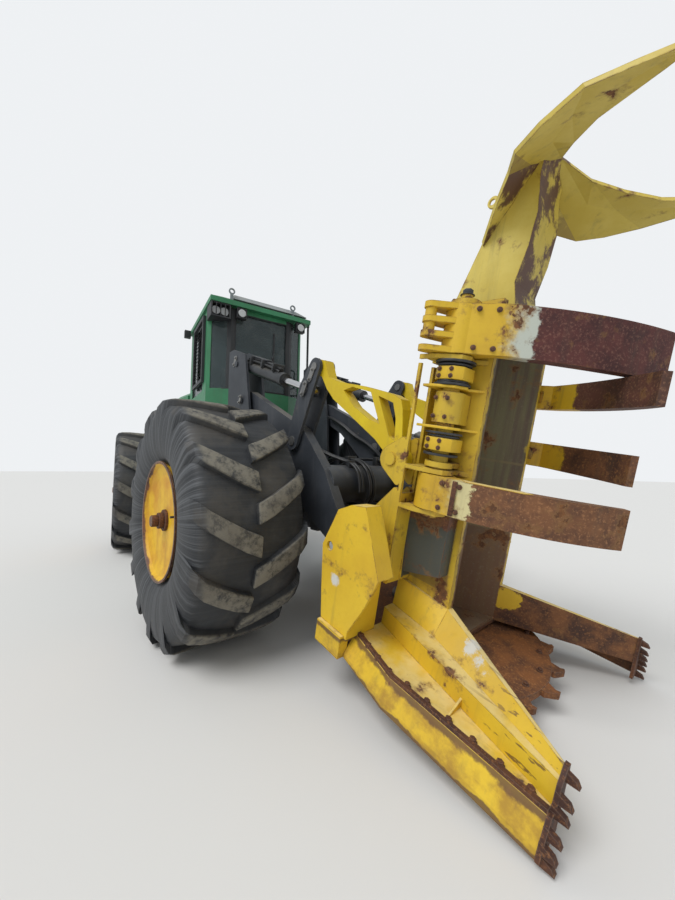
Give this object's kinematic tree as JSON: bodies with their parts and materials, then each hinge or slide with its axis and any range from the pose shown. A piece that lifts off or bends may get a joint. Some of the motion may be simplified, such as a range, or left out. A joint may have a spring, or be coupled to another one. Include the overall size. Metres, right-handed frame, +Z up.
{
  "type": "wheeled feller buncher",
  "caption": "Articulated wheeled feller buncher with a forked felling head, interleaved grab arms, a round saw disc, twin lift arms and a guarded cab.",
  "frame": {"origin": "middle of the whole machine's box on the ground it stands on", "axes": "+X forward along the front frame, +Y to the machine's left, +Z up"},
  "size_m": [7.3876, 3.3226, 3.3579],
  "materials": {
    "yellow_paint": "worn gloss",
    "green_paint": "gloss",
    "black_paint": "satin",
    "rusty_steel": "rough",
    "chrome_rod": "polished",
    "pin_steel": "satin",
    "tyre_rubber": "matt",
    "window_glass": "clear",
    "dark_plastic": "matt"
  },
  "bodies": {
    "front_frame": {"front_frame": "black_paint", "front_axle": "black_paint"},
    "lift_arms": {"lift_arms": "black_paint", "head_pivot_pins": "pin_steel", "lever_pivot_pins": "pin_steel"},
    "tilt_levers": {"tilt_levers": "black_paint", "link_pivot_pins": "pin_steel"},
    "truss_links": {"truss_links": "yellow_paint"},
    "tilt_pistons": {"tilt_pistons": "pin_steel"},
    "tilt_barrels": {"tilt_barrels": "black_paint"},
    "tilt_rods": {"tilt_rods": "chrome_rod"},
    "lift_barrels": {"lift_barrels": "black_paint"},
    "lift_rods": {"lift_rods": "chrome_rod"},
    "head": {"felling_tower": "yellow_paint", "tower_crown": "yellow_paint", "right_shoe": "yellow_paint", "left_shoe": "yellow_paint", "saw_deck": "rusty_steel", "saw_motor": "black_paint", "tooth_plates": "rusty_steel"},
    "saw_disc": {"saw_disc": "rusty_steel"},
    "right_upper_arm": {"right_upper_arm": "rusty_steel"},
    "right_lower_arm": {"right_lower_arm": "rusty_steel"},
    "left_upper_arm": {"left_upper_arm": "rusty_steel"},
    "left_lower_arm": {"left_lower_arm": "rusty_steel"},
    "rear_frame": {"rear_frame": "black_paint", "cab_frame": "green_paint", "cab_roof": "green_paint", "cab_glass": "window_glass", "cab_seat": "dark_plastic", "hood": "green_paint", "engine_block": "black_paint", "rear_grille": "black_paint", "exhaust_stack": "black_paint", "work_lamps": "dark_plastic", "cab_grab_rail": "black_paint", "cab_screens": "black_paint", "lamp_guard": "black_paint", "roof_hatch": "black_paint"},
    "cab_door": {"cab_door": "green_paint", "door_glass": "window_glass"},
    "rear_axle": {"rear_axle": "black_paint"},
    "front_right_wheel": {"front_right_tyre": "tyre_rubber", "front_right_rim": "yellow_paint"},
    "front_left_wheel": {"front_left_tyre": "tyre_rubber", "front_left_rim": "yellow_paint"},
    "rear_right_wheel": {"rear_right_tyre": "tyre_rubber", "rear_right_rim": "yellow_paint"},
    "rear_left_wheel": {"rear_left_tyre": "tyre_rubber", "rear_left_rim": "yellow_paint"},
    "steer_barrel_right": {"steer_barrel_right": "black_paint"},
    "steer_rod_right": {"steer_rod_right": "chrome_rod"},
    "steer_barrel_left": {"steer_barrel_left": "black_paint"},
    "steer_rod_left": {"steer_rod_left": "chrome_rod"}
  },
  "joints": [
    {"name": "boom_lift", "type": "hinge", "parent": "front_frame", "child": "lift_arms", "pos_m": [0.505, -0.167, 1.968], "axis": [0, -1, 0], "range_deg": [-4, 38]},
    {"name": "head_tilt", "type": "hinge", "parent": "lift_arms", "child": "head", "pos_m": [2.144, -0.167, 0.813], "axis": [0, -1, 0], "range_deg": [-32, 11]},
    {"name": "lever_turn", "type": "hinge", "parent": "lift_arms", "child": "tilt_levers", "pos_m": [1.395, -0.167, 1.515], "axis": [0, -1, 0], "range_deg": [-33, 12]},
    {"name": "truss_turn", "type": "hinge", "parent": "tilt_levers", "child": "truss_links", "pos_m": [1.68, -0.167, 2.065], "axis": [0, -1, 0], "range_deg": [-12, 33]},
    {"name": "tilt_barrel_swing", "type": "hinge", "parent": "front_frame", "child": "tilt_barrels", "pos_m": [0.375, -0.167, 2.36], "axis": [0, -1, 0], "range_deg": [-4.38, 33.13]},
    {"name": "tilt_piston_slide", "type": "slide", "parent": "tilt_barrels", "child": "tilt_pistons", "axis": [0.9357, 0, -0.3528], "range_m": [-0.2458, 0.0295]},
    {"name": "tilt_rod_slide", "type": "slide", "parent": "tilt_pistons", "child": "tilt_rods", "axis": [0.9357, 0, -0.3528], "range_m": [-0.0837, 0.2359]},
    {"name": "lift_barrel_swing", "type": "hinge", "parent": "front_frame", "child": "lift_barrels", "pos_m": [0.35, -0.167, 1.12], "axis": [0, -1, 0], "range_deg": [-3.84, 28]},
    {"name": "lift_rod_slide", "type": "slide", "parent": "lift_barrels", "child": "lift_rods", "axis": [0.9972, 0, 0.0746], "range_m": [-0.0577, 0.5137]},
    {"name": "saw_spin", "type": "hinge", "parent": "head", "child": "saw_disc", "pos_m": [2.41563, -0.167, 0.25607], "axis": [0.1908, 0, 0.9816], "continuous": true},
    {"name": "right_upper_arm_swing", "type": "hinge", "parent": "head", "child": "right_upper_arm", "pos_m": [2.81198, -0.617, 2.0331], "axis": [-0.1908, 0, -0.9816], "range_deg": [-8, 72]},
    {"name": "right_lower_arm_swing", "type": "hinge", "parent": "head", "child": "right_lower_arm", "pos_m": [2.64789, -0.617, 1.1889], "axis": [-0.1908, 0, -0.9816], "range_deg": [-8, 55]},
    {"name": "left_upper_arm_swing", "type": "hinge", "parent": "head", "child": "left_upper_arm", "pos_m": [2.77143, 0.283, 1.8245], "axis": [0.1908, 0, 0.9816], "range_deg": [-8, 62]},
    {"name": "left_lower_arm_swing", "type": "hinge", "parent": "head", "child": "left_lower_arm", "pos_m": [2.69845, 0.283, 1.44903], "axis": [0.1908, 0, 0.9816], "range_deg": [-8, 53]},
    {"name": "articulation", "type": "hinge", "parent": "front_frame", "child": "rear_frame", "pos_m": [-0.66, -0.167, 0.89], "axis": [0, 0, 1], "range_deg": [-31.14, 48.86]},
    {"name": "steer_barrel_right_swing", "type": "hinge", "parent": "rear_frame", "child": "steer_barrel_right", "pos_m": [-1.38271, -0.38833, 0.89], "axis": [0, 0, 1], "range_deg": [-20.98, 13.74]},
    {"name": "steer_rod_right_slide", "type": "slide", "parent": "steer_barrel_right", "child": "steer_rod_right", "axis": [0.9882, -0.1532, 0], "range_m": [-0.3153, 0.2024]},
    {"name": "steer_barrel_left_swing", "type": "hinge", "parent": "rear_frame", "child": "steer_barrel_left", "pos_m": [-1.28106, 0.2638, 0.89], "axis": [0, 0, 1], "range_deg": [-20.98, 13.74]},
    {"name": "steer_rod_left_slide", "type": "slide", "parent": "steer_barrel_left", "child": "steer_rod_left", "axis": [0.9996, -0.0293, 0], "range_m": [-0.2024, 0.3153]},
    {"name": "rear_axle_oscillation", "type": "hinge", "parent": "rear_frame", "child": "rear_axle", "pos_m": [-2.29031, 0.08713, 0.9], "axis": [0.9881, -0.154, 0], "range_deg": [-10, 10]},
    {"name": "front_right_wheel_spin", "type": "hinge", "parent": "front_frame", "child": "front_right_wheel", "pos_m": [0.99, -1.251, 0.9], "axis": [0, 1, 0], "continuous": true},
    {"name": "front_left_wheel_spin", "type": "hinge", "parent": "front_frame", "child": "front_left_wheel", "pos_m": [0.99, 0.917, 0.9], "axis": [0, 1, 0], "continuous": true},
    {"name": "rear_right_wheel_spin", "type": "hinge", "parent": "rear_axle", "child": "rear_right_wheel", "pos_m": [-2.45727, -0.98393, 0.9], "axis": [0.154, 0.9881, 0], "continuous": true},
    {"name": "rear_left_wheel_spin", "type": "hinge", "parent": "rear_axle", "child": "rear_left_wheel", "pos_m": [-2.12335, 1.1582, 0.9], "axis": [0.154, 0.9881, 0], "continuous": true},
    {"name": "cab_door_swing", "type": "hinge", "parent": "rear_frame", "child": "cab_door", "pos_m": [-0.96066, 0.50128, 2.2], "axis": [0, 0, 1], "range_deg": [0, 100]}
  ],
  "couplings": [
    {"joint": "lever_turn", "follows": "head_tilt", "ratio": 1},
    {"joint": "truss_turn", "follows": "head_tilt", "ratio": -1},
    {"joint": "tilt_barrel_swing", "follows": "boom_lift", "ratio": 0.8455},
    {"joint": "tilt_piston_slide", "follows": "boom_lift", "m_per_rad": -0.3646},
    {"joint": "tilt_rod_slide", "follows": "head_tilt", "m_per_rad": -0.4152},
    {"joint": "lift_barrel_swing", "follows": "boom_lift", "ratio": 0.7106},
    {"joint": "lift_rod_slide", "follows": "boom_lift", "m_per_rad": 0.7685},
    {"joint": "steer_barrel_right_swing", "follows": "articulation", "ratio": -0.409},
    {"joint": "steer_rod_right_slide", "follows": "articulation", "m_per_rad": -0.365},
    {"joint": "steer_barrel_left_swing", "follows": "articulation", "ratio": -0.409},
    {"joint": "steer_rod_left_slide", "follows": "articulation", "m_per_rad": 0.365}
  ]
}
